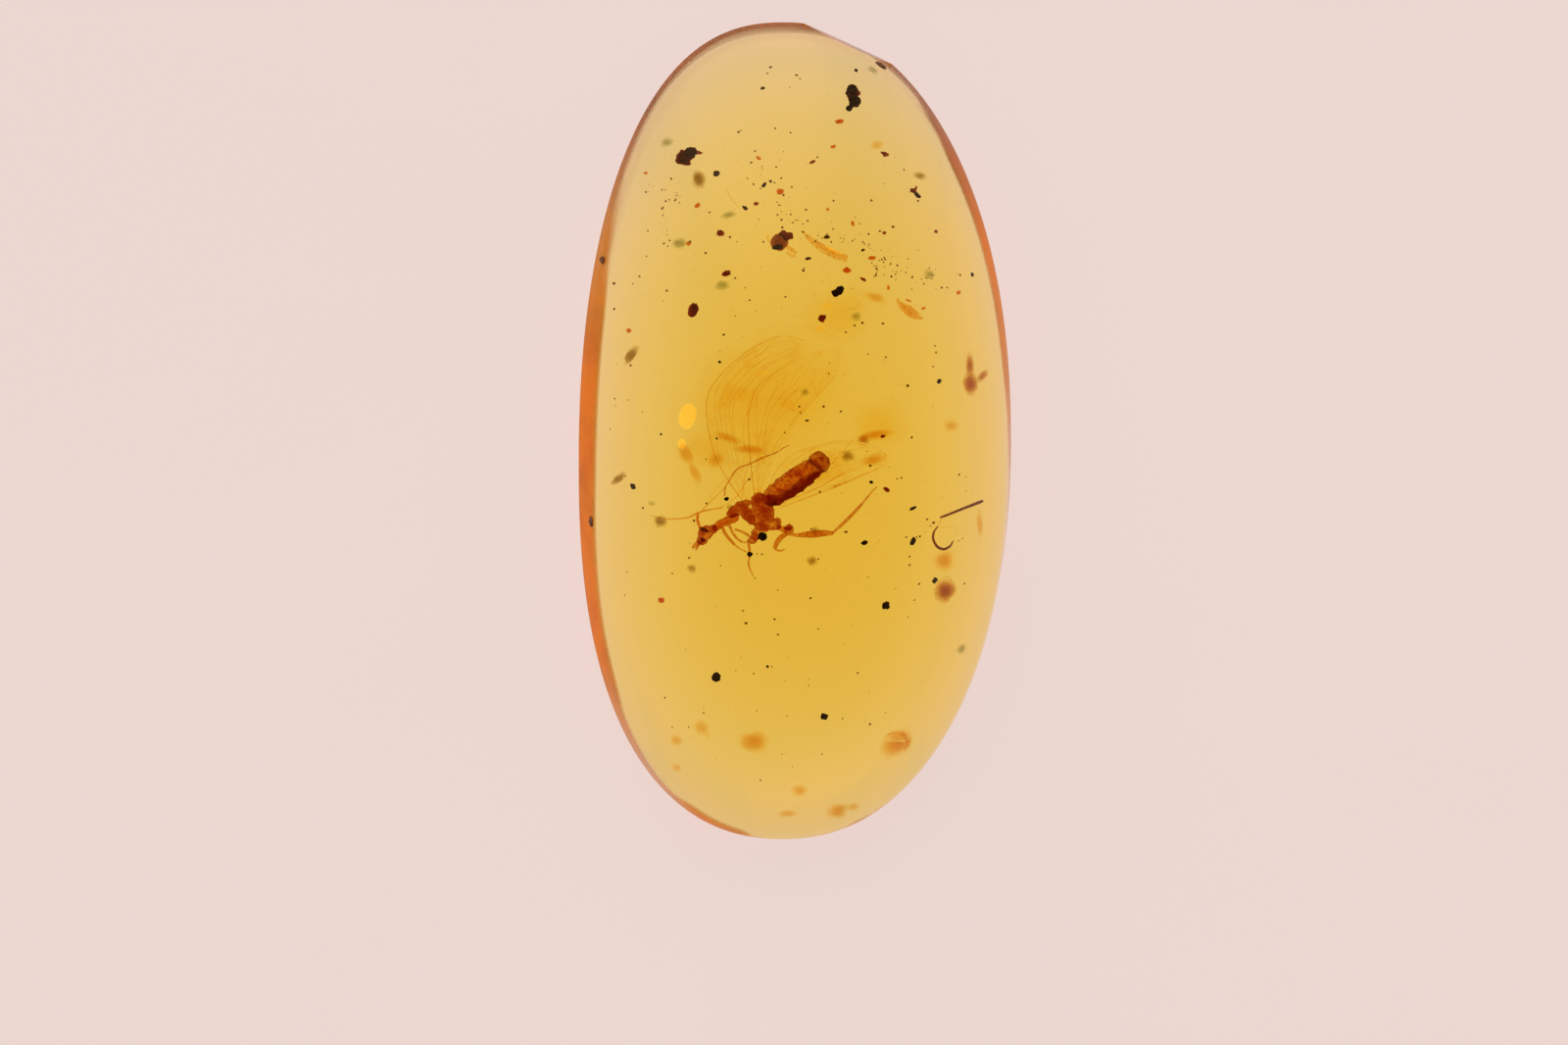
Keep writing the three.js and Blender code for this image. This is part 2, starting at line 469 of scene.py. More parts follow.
def make_stone():
    """The polished stone: a round blank pulled into an oval, with the flats ground on it."""
    bm = bmesh.new()
    # A layer for the painted copper shade and the added roughness along the wall.
    skin = bm.verts.layers.float.new("wall_rim_shade")
    chain = []
    for radius, height, amount in stone_section():
        vert = bm.verts.new((radius, 0, height))
        vert[skin] = amount
        chain.append(vert)
    rim = [bm.edges.new(pair) for pair in zip(chain, chain[1:])]
    bmesh.ops.spin(bm, geom=chain + rim, cent=ORIGIN, axis=UPRIGHT, angle=2 * math.pi,
                   steps=STONE_STEPS, use_merge=True)
    bmesh.ops.remove_doubles(bm, verts=bm.verts, dist=TINY)
    for vert in bm.verts:
        vert.co = oval_point(vert.co)
        vert[skin] *= rim_shade_at(vert.co)
    bmesh.ops.recalc_face_normals(bm, faces=bm.faces)
    for point, facing in FLATS:
        rim = ground(bm, point, facing)
        bmesh.ops.edgeloop_fill(bm, edges=rim)
        for edge in rim:
            edge.smooth = False
    bmesh.ops.recalc_face_normals(bm, faces=bm.faces)
    low, high = ([pick(vert.co[axis] for vert in bm.verts) for axis in range(3)] for pick in (min, max))
    middle = Vector(((low[0] + high[0]) / 2, (low[1] + high[1]) / 2, low[2]))
    bmesh.ops.translate(bm, vec=-middle, verts=bm.verts)
    piece = finish("polished_amber", bm, AMBER)
    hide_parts("amber_stone")
    return piece, middle


stone, stone_middle = make_stone()


def make_painted_rim():
    """A thin shell of painted copper shade and glow inside the wall: lower and fainter where the table
    gives less of it.
    """
    outside = [point for point in stone_section() if point[2] > LEAST_RIM_SHADE]
    bm = bmesh.new()
    cover = bm.verts.layers.float.new("rim_shade_cover")
    chain = []
    start = Matrix.Rotation(math.radians(RIM_SHADE[0][0]), 3, "Z")
    for inset, part in ((0, outside), (RIM_SHADE_THICKNESS, reversed(outside))):
        for radius, height, amount in part:
            vert = bm.verts.new(start @ Vector((radius - RIM_SHADE_DEPTH - inset, 0, height + inset / 2)))
            vert[cover] = amount
            chain.append(vert)
    rim = [bm.edges.new(pair) for pair in zip(chain, chain[1:] + chain[:1])]
    bm.faces.new(chain)
    made = bmesh.ops.spin(bm, geom=chain + rim, cent=ORIGIN, axis=UPRIGHT,
                          angle=math.radians(RIM_SHADE[-2][0] - RIM_SHADE[0][0]), steps=RIM_SHADE_STEPS)
    bm.faces.new([part for part in made["geom_last"] if isinstance(part, bmesh.types.BMVert)])
    for vert in bm.verts:
        up_wall = vert.co.z / WALL_HEIGHT
        vert.co = oval_point(vert.co)
        vert[cover] *= clamped((RIM_SHADE_REACH * rim_shade_at(vert.co) - up_wall) / RIM_SHADE_FADE)
    bmesh.ops.recalc_face_normals(bm, faces=bm.faces)
    for point, facing in FLATS:
        inner = Vector(point) - Vector(facing).normalized() * RIM_SHADE_DEPTH
        bmesh.ops.holes_fill(bm, edges=ground(bm, inner, facing))
    bmesh.ops.translate(bm, vec=-stone_middle, verts=bm.verts)
    bmesh.ops.recalc_face_normals(bm, faces=bm.faces)
    finish("painted_copper_rim", bm, PAINTED_RIM)


make_painted_rim()


# ---- places in the stone

def face_tree(piece):
    bm = bmesh.new()
    bm.from_mesh(piece.data)
    tree = BVHTree.FromBMesh(bm)
    bm.free()
    return tree


STONE_FACES = face_tree(stone)


def look_in(x, y):
    """Where the camera's line to x, y of the outline meets the dome, and how it bends there."""
    eye = camera.matrix_world.translation
    ray = (Vector((x, y, BACK_BEVEL)) * MM - eye).normalized()
    hit, _, index, _ = STONE_FACES.ray_cast(eye, ray)
    corners = [stone.data.vertices[corner] for corner in stone.data.polygons[index].vertices]
    weights = poly_3d_calc([corner.co for corner in corners], hit)
    normal = Vector((0, 0, 0))
    for corner, weight in zip(corners, weights):
        normal += corner.normal * weight
    normal.normalize()
    straight = -ray.dot(normal)
    sideways = math.sqrt(1 - (1 - straight ** 2) / AMBER_IOR ** 2)
    return hit / MM, ray / AMBER_IOR + normal * (straight / AMBER_IOR - sideways)


def beneath(place):
    """The point at a height inside the stone that shows at x, y of its outline."""
    hit, bent = look_in(place[0], place[1])
    return hit + bent * ((place[2] - hit.z) / bent.z)


def inside(x, y, depth):
    """The same, with the height given as a share of the stone's thickness there."""
    hit, bent = look_in(x, y)
    return hit + bent * ((depth - 1) * hit.z / bent.z)


def seal(bm):
    """Moves a bmesh drawn on the stone's outline to where it shows there from inside."""
    for vert in bm.verts:
        vert.co = beneath(vert.co)


# ---- shapes

def along(points, share):
    """A point on the smooth curve through the given points."""
    last = len(points) - 1
    step = min(int(share * last), last - 1)
    part = share * last - step
    before, here, there, after = (Vector(points[min(max(step + offset, 0), last)])
                                  for offset in (-1, 0, 1, 2))
    return (here + (there - before) * part / 2
            + (before * 2 - here * 5 + there * 4 - after) * part ** 2 / 2
            + (here * 3 - there * 3 + after - before) * part ** 3 / 2)


def level(height, paths):
    """Puts paths of x, y and radius at one height."""
    return [[(x, y, height, radius) for x, y, radius in path] for path in paths]


def strand(bm, stations, sides, steps):
    """Adds a closed round strand along stations of x, y, height and radius."""
    data = bpy.data.curves.new("strand", "CURVE")
    data.dimensions = "3D"
    data.bevel_depth = 1
    data.bevel_resolution = sides
    data.resolution_u = steps
    data.use_fill_caps = True
    line = data.splines.new("BEZIER")
    line.bezier_points.add(len(stations) - 1)
    line.radius_interpolation = "BSPLINE"
    for point, (x, y, height, radius) in zip(line.bezier_points, stations):
        point.co = (x, y, height)
        point.radius = radius
        point.handle_left_type = point.handle_right_type = "AUTO"
    holder = bpy.data.objects.new("strand", data)
    mesh = bpy.data.meshes.new_from_object(holder)
    bm.from_mesh(mesh)
    bpy.data.objects.remove(holder)
    bpy.data.curves.remove(data)
    bpy.data.meshes.remove(mesh)


def strands(name, paths, material, sides=2, steps=6, flat=1.0):
    """Makes one piece of strands along their own stations, 'flat' times as deep as wide."""
    bm = bmesh.new()
    for stations in paths:
        strand(bm, stations, sides, steps)
    middle = paths[0][0][2]
    for vert in bm.verts:
        vert.co.z = middle + (vert.co.z - middle) * flat
    bmesh.ops.remove_doubles(bm, verts=bm.verts, dist=TINY)
    bmesh.ops.recalc_face_normals(bm, faces=bm.faces)
    seal(bm)
    finish(name, bm, material)


def lump(bm, place, radii, turn, rough, finer=3):
    """Adds an egg-shaped lump, turned about the upright and roughened by noise."""
    turned = Matrix.Rotation(math.radians(turn), 3, "Z")
    for vert in bmesh.ops.create_icosphere(bm, subdivisions=finer, radius=1)["verts"]:
        out = vert.co.copy()
        swell = 1 + rough * noise.fractal(out * 1.6 + Vector(place) * 3.7, 1.0, 2.0, 3)
        vert.co = Vector(place) + turned @ Vector(
            [part * radius * swell for part, radius in zip(out, radii)])


def soft_lump(bm, place, radii, turn, rough=0.25):
    """Adds a lump that thins away towards its rim, so that it shows with soft edges."""
    turned = Matrix.Rotation(math.radians(turn), 3, "Z")
    room = min(place[2], STONE_FACES.ray_cast(Vector(place) * MM, UPRIGHT)[3] / MM)
    radii = (radii[0], radii[1], min(radii[2], 0.7 * room))
    for vert in bmesh.ops.create_icosphere(bm, subdivisions=4, radius=1)["verts"]:
        out = vert.co.copy()
        swell = 1 + rough * noise.noise(out * 1.3 + Vector(place) * 3.7)
        out.z = out.z ** 3 * abs(out.z)
        vert.co = Vector(place) + turned @ Vector(
            [part * radius * swell for part, radius in zip(out, radii)])


def lumpy(name, lumps, material):
    """Makes one piece of separate lumps."""
    bm = bmesh.new()
    for each in lumps:
        lump(bm, *each)
    finish(name, bm, material)


def spots(rows):
    """Fills rows of x, y, length, width and turn: round with no width, and not turned."""
    for x, y, length, *more in rows:
        yield x, y, length, more[0] if more else length, more[1] if len(more) > 1 else 0


def crumbs(name, rows, layer, material, rough=0.45, finer=3):
    """Makes one piece of rough crumbs, in a layer of shares of the stone's thickness."""
    chance = random.Random(name)
    lumpy(name, [(inside(x, y, chance.uniform(*layer)), (length / 2, width / 2, (length + width) / 5),
                  turn, rough, finer) for x, y, length, width, turn in spots(rows)], material)


GRAINS = 14
CLUSTER_LEVEL = 0.55


def ragged(name, rows, material, spread, heart):
    """Makes one piece of clusters of grains, each round a heart."""
    chance = random.Random(name)
    lumps = []
    for x, y, length, width, turn in spots(rows):
        height = CLUSTER_LEVEL * look_in(x, y)[0].z
        size = (length + width) / 2
        turned = Matrix.Rotation(math.radians(turn), 2)
        lumps.append(((x, y, height), (length * heart / 2, width * heart / 2, size * heart / 2.5),
                      turn, 0.4))
        for _ in range(GRAINS):
            way = chance.uniform(0, 2 * math.pi)
            out = chance.uniform(0.3, 1) * spread / 2
            offset = turned @ Vector((length * out * math.cos(way), width * out * math.sin(way)))
            grain = chance.uniform(0.10, 0.24) * size
            lumps.append(((x + offset.x, y + offset.y, height + chance.uniform(-0.1, 0.1)),
                          (grain, grain * 0.8, grain), chance.uniform(0, 180), 0.4, 2))
    fused(name, lumps, 0.03, material, 0.02, 0.08)


SOFT_EDGE = 1.4


def clots(name, rows, layer, material):
    """Makes one piece of soft-edged clots, in a layer of shares of the stone's thickness."""
    chance = random.Random(name)
    bm = bmesh.new()
    for x, y, length, width, turn in spots(rows):
        soft_lump(bm, inside(x, y, chance.uniform(*layer)),
                  (SOFT_EDGE * length / 2, SOFT_EDGE * width / 2, (length + width) / 3), turn)
    finish(name, bm, material)


def fused(name, lumps, voxel, material, rough, grain):
    """Makes one skin over all the lumps, roughened by noise."""
    bm = bmesh.new()
    for each in lumps:
        lump(bm, *each)
    raw = bpy.data.meshes.new("raw")
    bm.to_mesh(raw)
    holder = bpy.data.objects.new("raw", raw)
    bpy.context.collection.objects.link(holder)
    wrap = holder.modifiers.new("wrap", "REMESH")
    wrap.mode = "VOXEL"
    wrap.voxel_size = voxel
    skin = bpy.data.meshes.new_from_object(
        holder.evaluated_get(bpy.context.evaluated_depsgraph_get()))
    bm.clear()
    bm.from_mesh(skin)
    bpy.data.objects.remove(holder)
    bpy.data.meshes.remove(raw)
    bpy.data.meshes.remove(skin)
    for _ in range(2):
        bmesh.ops.smooth_vert(bm, verts=bm.verts, factor=0.5, use_axis_x=True, use_axis_y=True,
                              use_axis_z=True)
    bm.normal_update()
    for vert in bm.verts:
        vert.co += vert.normal * rough * noise.fractal(vert.co / grain, 1.0, 2.0, 3)
    seal(bm)
    return finish(name, bm, material)


# ---- the insect

def make_abdomen():
    """Soft rings along a slightly bent axis, wider in the middle, with a blunt tip."""
    axis = [(-0.82, -2.06, 2.5), (-0.3, -1.74, 2.6), (0.3, -1.33, 2.65), (0.78, -1.02, 2.6)]
    rings = 17
    turn = 31
    lumps = []
    for ring in range(rings):
        share = ring / (rings - 1)
        width = 0.28 + 0.11 * math.sin(math.pi * min(1, share * 1.15)) + 0.03 * share
        lumps.append((along(axis, share), (0.26, width, width * 0.8), turn, 0.05))
    lumps.append(((-0.52, -2.08, 2.5), (0.18, 0.16, 0.16), turn, 0.2))
    lumps.append(((0.76, -0.98, 2.6), (0.33, 0.36, 0.25), turn, 0.08))
    piece = fused("abdomen", lumps, 0.022, ABDOMEN_CUTICLE, 0.045, 0.2)
    root, tip = beneath(axis[0]), beneath((0.95, -0.9, 2.6))
    axis_way = (tip - root).xy
    across = Vector((-axis_way.y, axis_way.x)).normalized()
    shadow = piece.data.attributes.new("gut_shadow", "FLOAT", "POINT")
    for vert, value in zip(piece.data.vertices, shadow.data):
        place = vert.co / MM
        offset = (place - root).xy
        run = offset.dot(axis_way) / axis_way.length_squared
        side = offset.dot(across) + 0.1 * noise.noise(place * 5)
        low = clamped(-(side + 0.02) / 0.14) * clamped((0.92 - run) / 0.08)
        band = 1 - abs(run - 0.84 + 0.12 * side) / 0.07
        tip_shade = 0.35 * clamped((run - 0.88) / 0.05)
        value.value = max(low, clamped(band), tip_shade)


make_abdomen()

# Three crumpled rings, with the hips of the legs and the stumps of the wings.
THORAX = [
    ((-1.98, -2.5, 2.6), (0.24, 0.19, 0.2), 40), ((-1.7, -2.3, 2.65), (0.3, 0.15, 0.2), 20),
    ((-1.62, -2.5, 2.6), (0.24, 0.16, 0.2), 0), ((-1.44, -2.66, 2.55), (0.34, 0.22, 0.26), -45),
    ((-1.2, -2.12, 2.7), (0.26, 0.21, 0.22), 30), ((-1.08, -2.36, 2.6), (0.28, 0.3, 0.28), 60),
    ((-0.98, -2.62, 2.5), (0.3, 0.3, 0.26), 0), ((-0.86, -2.18, 2.6), (0.26, 0.2, 0.24), 30),
    ((-1.04, -2.96, 2.45), (0.28, 0.2, 0.2), -10), ((-0.72, -2.98, 2.5), (0.24, 0.12, 0.14), 0),
    ((-0.56, -2.84, 2.5), (0.13, 0.14, 0.12), 0), ((-0.24, -3.02, 2.45), (0.14, 0.1, 0.08), 20),
    ((-1.36, -3.38, 2.4), (0.24, 0.13, 0.12), 35), ((-1.24, -3.18, 2.4), (0.17, 0.2, 0.12), 0),
]
fused("thorax", [(*each, 0.15) for each in THORAX], 0.022, THORAX_CUTICLE, 0.05, 0.2)

fused("prothorax", [
    ((-2.45, -2.92, 2.6), (0.26, 0.14, 0.15), 38, 0.15),
    ((-2.2, -2.8, 2.6), (0.24, 0.15, 0.15), 25, 0.15),
    ((-1.98, -2.72, 2.6), (0.2, 0.14, 0.14), 40, 0.15),
], 0.02, LIMB_CUTICLE, 0.02, 0.1)

fused("head", [
    ((-2.88, -3.16, 2.6), (0.26, 0.23, 0.2), 35, 0.1),
    ((-2.98, -3.38, 2.55), (0.19, 0.17, 0.16), 35, 0.1),
    ((-2.66, -3.06, 2.6), (0.18, 0.15, 0.14), 35, 0.1),
], 0.018, THORAX_CUTICLE, 0.015, 0.08)

for name, x, y, height, length in (("eye_upper", -2.93, -3.07, 2.72, 0.17),
                                   ("eye_lower", -2.97, -3.38, 2.5, 0.09)):
    bm = bmesh.new()
    lump(bm, (x, y, height), (length, 0.065, 0.1), -22, 0.08, 4)
    seal(bm)
    finish(name, bm, EYE)

strands("mouthparts", [
    [(-3.02, -3.42, 2.55, 0.09), (-3.18, -3.52, 2.5, 0.07), (-3.3, -3.64, 2.45, 0.045)],
    [(-3.08, -3.5, 2.5, 0.05), (-3.16, -3.64, 2.4, 0.035), (-3.2, -3.72, 2.35, 0.02)],
], LIMB_CUTICLE)

strands("antenna_left", [
    [(-3.04, -3.02, 2.7, 0.05), (-3.13, -2.8, 2.75, 0.055), (-3.13, -2.52, 2.8, 0.05)],
    [(-3.13, -2.52, 2.8, 0.035), (-3.4, -2.65, 2.85, 0.028), (-3.72, -2.7, 2.9, 0.024),
     (-4.27, -2.68, 3, 0.018), (-4.67, -2.58, 3.05, 0.01)],
], PALE_CUTICLE)
strands("antenna_right", [
    [(-3.12, -2.52, 2.8, 0.03), (-2.78, -2.43, 2.9, 0.028), (-2.3, -2.37, 3, 0.02)],
    [(-3.05, -2.5, 2.8, 0.018), (-2.7, -2.15, 2.9, 0.016), (-2.25, -1.72, 3, 0.014)],
], PALE_CUTICLE)

LEGS = {
    "leg_hind_near": [
        [(-0.6, -3.02, 2.5, 0.06), (-0.3, -3.1, 2.45, 0.12), (-0.08, -3.12, 2.4, 0.1)],
        [(-0.22, -3.24, 2.4, 0.045), (0.06, -3.28, 2.35, 0.05), (0.32, -3.27, 2.35, 0.1),
         (0.62, -3.25, 2.35, 0.125), (0.95, -3.23, 2.35, 0.1), (1.2, -3.24, 2.35, 0.055)],
        [(1.18, -3.24, 2.35, 0.035), (1.36, -3.08, 2.4, 0.045), (1.56, -2.9, 2.5, 0.055),
         (1.86, -2.61, 2.6, 0.055), (2.12, -2.33, 2.7, 0.045)],
        [(2.12, -2.33, 2.7, 0.035), (2.38, -2.02, 2.8, 0.027), (2.5, -1.88, 2.85, 0.022),
         (2.61, -1.78, 2.9, 0.016)],
    ],
    "leg_hind_far": [
        [(-2.28, -2, 3.1, 0.02), (-2.24, -1.7, 3.15, 0.024), (-2.09, -1.46, 3.2, 0.026),
         (-1.88, -1.16, 3.2, 0.026), (-1.46, -0.98, 3.2, 0.028), (-1, -0.77, 3.2, 0.028)],
        [(-1, -0.77, 3.2, 0.026), (-0.58, -0.62, 3.25, 0.022), (-0.36, -0.47, 3.25, 0.018),
         (-0.2, -0.41, 3.25, 0.012)],
    ],
    "leg_mid_near": [
        [(-0.26, -3.2, 2.4, 0.075), (-0.5, -3.38, 2.35, 0.09), (-0.64, -3.6, 2.3, 0.075),
         (-0.66, -3.71, 2.3, 0.05)],
        [(-0.66, -3.71, 2.3, 0.04), (-0.5, -3.77, 2.3, 0.03), (-0.34, -3.72, 2.3, 0.018)],
    ],
    "leg_mid_far": [
        [(-1.52, -3.5, 2.3, 0.035), (-1.49, -3.62, 2.25, 0.045), (-1.47, -3.88, 2.2, 0.03),
         (-1.51, -4.14, 2.2, 0.032), (-1.44, -4.39, 2.2, 0.024), (-1.35, -4.57, 2.2, 0.012)],
    ],
    "leg_fore_near": [
        [(-2.34, -3, 2.5, 0.05), (-2.24, -3.22, 2.35, 0.055), (-1.96, -3.55, 2.25, 0.045)],
        [(-1.96, -3.55, 2.25, 0.034), (-1.78, -3.69, 2.2, 0.027), (-1.56, -3.8, 2.2, 0.018)],
    ],
    "leg_fore_far": [
        [(-2.12, -2.95, 2.45, 0.045), (-1.97, -3.24, 2.4, 0.045), (-1.8, -3.42, 2.35, 0.032),
         (-1.62, -3.49, 2.35, 0.025), (-1.48, -3.42, 2.35, 0.018)],
        [(-1.94, -3.06, 2.45, 0.03), (-1.68, -3.16, 2.4, 0.04), (-1.44, -3.32, 2.4, 0.05)],
    ],
}
for name, paths in LEGS.items():
    strands(name, paths, LIMB_CUTICLE)

# Each wing has its front margin and its rear margin, from the root to the tip.
WINGS = {
    "forewing_left": (
        [(-1.6, -2.3, 2.9), (-2.45, -1, 3.05), (-2.8, 0.25, 3.15), (-2.75, 1.35, 3.2),
         (-2, 2.25, 3.2), (-1.1, 2.85, 3.15), (-0.4, 3.07, 3.1), (0.28, 2.92, 3.05)],
        [(-1.5, -2.3, 2.9), (-1.42, -0.9, 2.95), (-1.5, 0.28, 3), (-1.46, 0.78, 3), (-1.3, 1.28, 3),
         (-0.93, 1.72, 3), (-0.4, 2.1, 3), (0.28, 2.6, 3)]),
    "hindwing_left": (
        [(-1.3, -2.25, 3.1), (-1.44, -0.9, 3.2), (-1.5, 0.28, 3.3), (-1.46, 0.78, 3.35),
         (-1.3, 1.28, 3.4), (-0.93, 1.7, 3.4), (-0.4, 2.08, 3.35), (0.25, 2.45, 3.3)],
        [(-1.1, -2.25, 3.1), (-0.75, -1, 3.15), (-0.35, -0.2, 3.2), (0.1, 0.45, 3.25),
         (0.65, 1.05, 3.3), (1.15, 1.6, 3.3), (1.4, 2.15, 3.3), (1.3, 2.72, 3.3)]),
    "forewing_right": (
        [(-0.95, -1.9, 3), (-0.62, -1.22, 3.1), (-0.1, -0.72, 3.15), (0.7, -0.42, 3.15),
         (1.6, -0.28, 3.1), (2.4, -0.42, 3.05), (2.9, -0.75, 3)],
        [(-0.95, -2.3, 3), (-0.4, -2.32, 3), (0.4, -2.05, 3), (1.3, -1.78, 3), (2.06, -1.48, 3),
         (2.55, -1.25, 3), (2.92, -1.02, 3)]),
    "hindwing_right": (
        [(-0.7, -2, 1.9), (-0.2, -1.3, 1.85), (0.5, -0.75, 1.8), (1.1, -0.62, 1.8), (1.6, -0.66, 1.8),
         (1.95, -0.95, 1.8)],
        [(-0.65, -2.3, 1.9), (0, -2.15, 1.9), (0.77, -1.98, 1.85), (1.3, -1.75, 1.8),
         (1.75, -1.45, 1.8), (1.98, -1.15, 1.8)]),
}
WING_THICKNESS = 0.014


def on_wing(wing, run, across):
    """A place on a wing: 'run' from root to tip, 'across' from front to rear margin."""
    front, rear = WINGS[wing]
    place = along(front, run).lerp(along(rear, run), across)
    place.z += 0.05 * math.sin(9 * across + 2 * run)
    return place


def make_wing(wing):
    bm = bmesh.new()
    for vert in bmesh.ops.create_grid(bm, x_segments=36, y_segments=14, size=0.5)["verts"]:
        vert.co = on_wing(wing, vert.co.x + 0.5, vert.co.y + 0.5)
    bmesh.ops.solidify(bm, geom=bm.faces, thickness=WING_THICKNESS)
    bmesh.ops.recalc_face_normals(bm, faces=bm.faces)
    seal(bm)
    finish(wing, bm, WING_MEMBRANE)


def vein(wing, start, end, thick, thin, stations=8):
    """Stations of a vein between two places (run, across) of a wing."""
    path = []
    for step in range(stations + 1):
        share = step / stations
        run = start[0] + (end[0] - start[0]) * share
        across = start[1] + (end[1] - start[1]) * share ** 1.4
        place = on_wing(wing, run, across)
        sway = 0.1 * math.sin(math.pi * share) * noise.noise((3 * start[0], 9 * start[1], 2.5 * share))
        path.append((place.x + sway, place.y - sway, place.z, thick + (thin - thick) * share))
    return path


def make_veins(wing, branches, crossings, width):
    """Long veins that spread from the root and fork, short ones across, and the margins."""
    chance = random.Random(wing)
    paths = [vein(wing, (0.02, 0.0), (1, 0.0), width * 1.7, width * 0.8, 14),
             vein(wing, (0.02, 1.0), (0.97, 1.0), width * 0.5, width * 0.4, 14)]
    for number in range(branches):
        across = (number + chance.uniform(0.3, 0.8)) / branches
        fork = chance.uniform(0.35, 0.7)
        start = (chance.uniform(0.01, 0.1), 0.25 + 0.5 * across)
        paths.append(vein(wing, start, (fork, across), width * 0.7, width * 0.8))
        for side in (-1, 1):
            paths.append(vein(wing, (fork, across),
                              (chance.uniform(0.78, 0.96), across + side * 0.35 / branches),
                              width * 0.8, width * 0.3))
    for number in range(crossings):
        run = 0.3 + 0.6 * number / crossings
        across = ((number * 3) % branches + 0.7) / branches
        paths.append(vein(wing, (run, across - 0.8 / branches), (run + 0.02, across), width * 0.5,
                          width * 0.5, 3))
    strands(wing + "_veins", paths, WING_VEIN, 0, 3)


for wing in WINGS:
    make_wing(wing)
    make_veins(wing, 6, 6, 0.01 if wing.endswith("left") else 0.007)

# Creases where the wings have crumpled near the body.
strands("wing_folds", level(2.8, [
    [(-0.69, -2.46, 0.016), (0.65, -1.99, 0.022), (1.81, -1.53, 0.018), (3.05, -1, 0.006)],
    [(-0.69, -2.3, 0.014), (0.3, -1.96, 0.018), (1.18, -1.53, 0.024), (1.87, -1.12, 0.008)],
    [(0.97, -1.22, 0.01), (1.36, -0.8, 0.018), (1.87, -0.19, 0.006)],
    [(-2.46, -2.4, 0.01), (-1.9, -2.02, 0.018), (-1.56, -1.53, 0.02), (-1.09, -1, 0.006)],
    [(-1.71, -2.06, 0.012), (-1.6, -1.3, 0.018), (-1.31, -0.59, 0.006)],
    [(-2.9, -2.3, 0.006), (-2.42, -1.62, 0.014), (-1.62, -1.12, 0.01)],
]), PALE_CUTICLE, 1, 8, 0.5)


# ---- what else the resin caught

ragged("black_clusters", [
    (1.8, 10.84, 0.42, 0.44, 20), (1.88, 10.5, 0.5, 0.42, -10), (1.72, 10.28, 0.28, 0.22, 30),
    (-3.36, 8.92, 0.5, 0.4, 30), (-3.58, 8.7, 0.38, 0.22, -20),
], BLACK_CRUMB, 0.8, 0.85)
ragged("red_fringes", [
    (-3.46, 8.82, 0.66, 0.5, 20), (-3.08, 8.91, 0.26, 0.12, 15), (-0.36, 6.26, 0.62, 0.22, -10),
    (1.84, 10.6, 0.44, 0.5), (2.84, 8.81, 0.24, 0.18, -20), (3.8, 7.66, 0.3, 0.22, 30),
    (1.38, 4.47, 0.3, 0.22, 40),
], RED_CRUMB, 1.0, 0.5)
crumbs("black_crumbs", [
    (-1.05, 10.93, 0.14, 0.1, 10), (-2.52, 8.24, 0.2, 0.18), (-1.01, 7.86, 0.16, 0.1, 50),
    (-0.8, 7.98, 0.09, 0.08), (-1.62, 7.15, 0.18, 0.1, -40), (3.9, 7.5, 0.22, 0.14, -30),
    (1.38, 4.47, 0.38, 0.25, 40), (5.67, 4.96, 0.14), (-2.43, 2.27, 0.08), (-4.3, 0, 0.07),
    (-2.52, -0.16, 0.06), (-2.21, -2.09, 0.12, 0.11, 20), (-5.2, -1.65, 0.24, 0.15, -40),
    (4.61, 1.57, 0.17, 0.12, 20), (-1.05, -3.31, 0.25, 0.25, 8), (-1.465, -3.87, 0.15, 0.14, 45),
    (2.92, -5.57, 0.19, 0.25, -15), (3.78, -3.53, 0.16, 0.24, -25), (4.48, -4.8, 0.15, 0.19, -30),
    (-2.55, -7.79, 0.24, 0.28, -20), (0.92, -9.1, 0.2), (-0.9, -7.47, 0.08), (1.93, 11.47, 0.11, 0.1),
    (2.22, -3.55, 0.19, 0.13, 15), (2.43, -1.62, 0.12, 0.09, -30), (3.77, -2.48, 0.22, 0.09, 25),
], (0.45, 0.65), BLACK_CRUMB)

# Dirt left in small chips of the rim.
CHIPS = [(-6.14, 5.54, 0.2, 0.26, 20), (-6.53, -2.76, 0.16, 0.34, 5), (2.72, 11.62, 0.4, 0.16, -35)]
lumpy("rim_dirt", [(look_in(x, y)[0], (length / 2, width / 2, 0.08), turn, 0.3)
                   for x, y, length, width, turn in CHIPS], RIM_DIRT)

crumbs("red_crumbs", [
    (-2.4, 6.36, 0.22, 0.18), (-3.27, 3.92, 0.26, 0.42, -10), (0.85, 3.62, 0.23, 0.2, 30),
    (0.54, 8.58, 0.2, 0.09, 30), (-1.26, 7.28, 0.14, 0.11), (-2.21, 5.08, 0.24, 0.18, 25),
    (2.8, -0.16, 0.14, 0.1, 20), (2.17, 4.84, 0.18, 0.09, -30), (4.5, 6.34, 0.13, 0.11),
    (2.84, 6.31, 0.11, 0.1), (2.93, -1.87, 0.2, 0.12, -50),
], (0.42, 0.62), RED_CRUMB)

